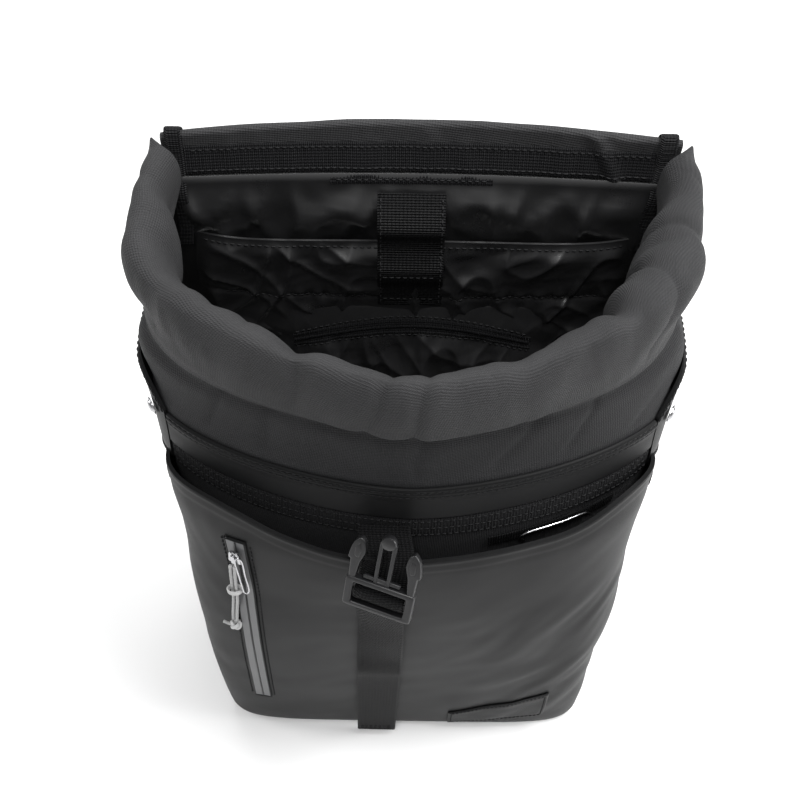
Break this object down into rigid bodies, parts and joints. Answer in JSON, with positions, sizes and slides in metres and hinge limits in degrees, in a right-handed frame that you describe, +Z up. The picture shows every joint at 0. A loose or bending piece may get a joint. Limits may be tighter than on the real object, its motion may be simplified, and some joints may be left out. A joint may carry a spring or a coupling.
{
  "type": "rolltop backpack",
  "caption": "Open rolltop backpack with an inward-rolled collar, front pocket, closing strap with side-release buckle, inner laptop sleeve and padded shoulder straps.",
  "frame": {"origin": "centre of the flat base, on the surface that the backpack stands on", "axes": "+Z up from the base to the mouth, -Y towards the front pocket, +X towards the wearer's right as the bag is seen from the front"},
  "size_m": [0.3106, 0.2314, 0.478],
  "materials": {
    "outer_fabric": "woven matt dark grey polyester, slightly dusty",
    "coated_fabric": "smooth coated cloth with a soft satin sheen",
    "satin_lining": "shiny black satin, wrinkled",
    "black_webbing": "ribbed black webbing and grosgrain tape",
    "zip_tape": "coated mid grey zip tape",
    "cord_fibre": "light grey round cord",
    "black_plastic": "moulded black acetal, slightly glossy edges",
    "chromed_metal": "bright plated metal"
  },
  "bodies": {
    "root": {"base_panel": "coated_fabric", "body_wall": "outer_fabric", "pocket_panel": "coated_fabric", "front_band": "coated_fabric", "front_binding": "black_webbing", "side_tab_left": "coated_fabric", "side_tab_right": "coated_fabric", "snap_left": "chromed_metal", "snap_right": "chromed_metal", "collar_roll": "outer_fabric", "back_panel": "outer_fabric", "back_collar": "outer_fabric", "rim_tape": "black_webbing", "rim_patch": "black_webbing", "corner_strip_left": "black_webbing", "corner_strip_right": "black_webbing", "lining": "satin_lining", "laptop_sleeve": "satin_lining", "inner_pouch": "satin_lining", "inner_zip": "black_webbing", "inner_strap": "black_webbing", "strap_backing": "satin_lining", "front_strap": "black_webbing", "buckle_plug": "black_plastic", "key_strap": "black_webbing", "key_hook": "chromed_metal", "front_zip": "zip_tape", "zip_slider": "chromed_metal", "zip_puller": "chromed_metal", "pull_cord_left": "cord_fibre", "pull_cord_right": "cord_fibre", "cord_collar": "cord_fibre", "cord_knot": "cord_fibre", "label_patch": "coated_fabric", "shoulder_strap_left": "outer_fabric", "shoulder_strap_right": "outer_fabric", "strap_adjuster_left": "black_plastic", "strap_adjuster_right": "black_plastic", "lower_strap_left": "black_webbing", "lower_strap_right": "black_webbing", "grab_handle": "black_webbing", "closing_strap": "black_webbing", "buckle_socket": "black_plastic"}
  },
  "joints": []
}
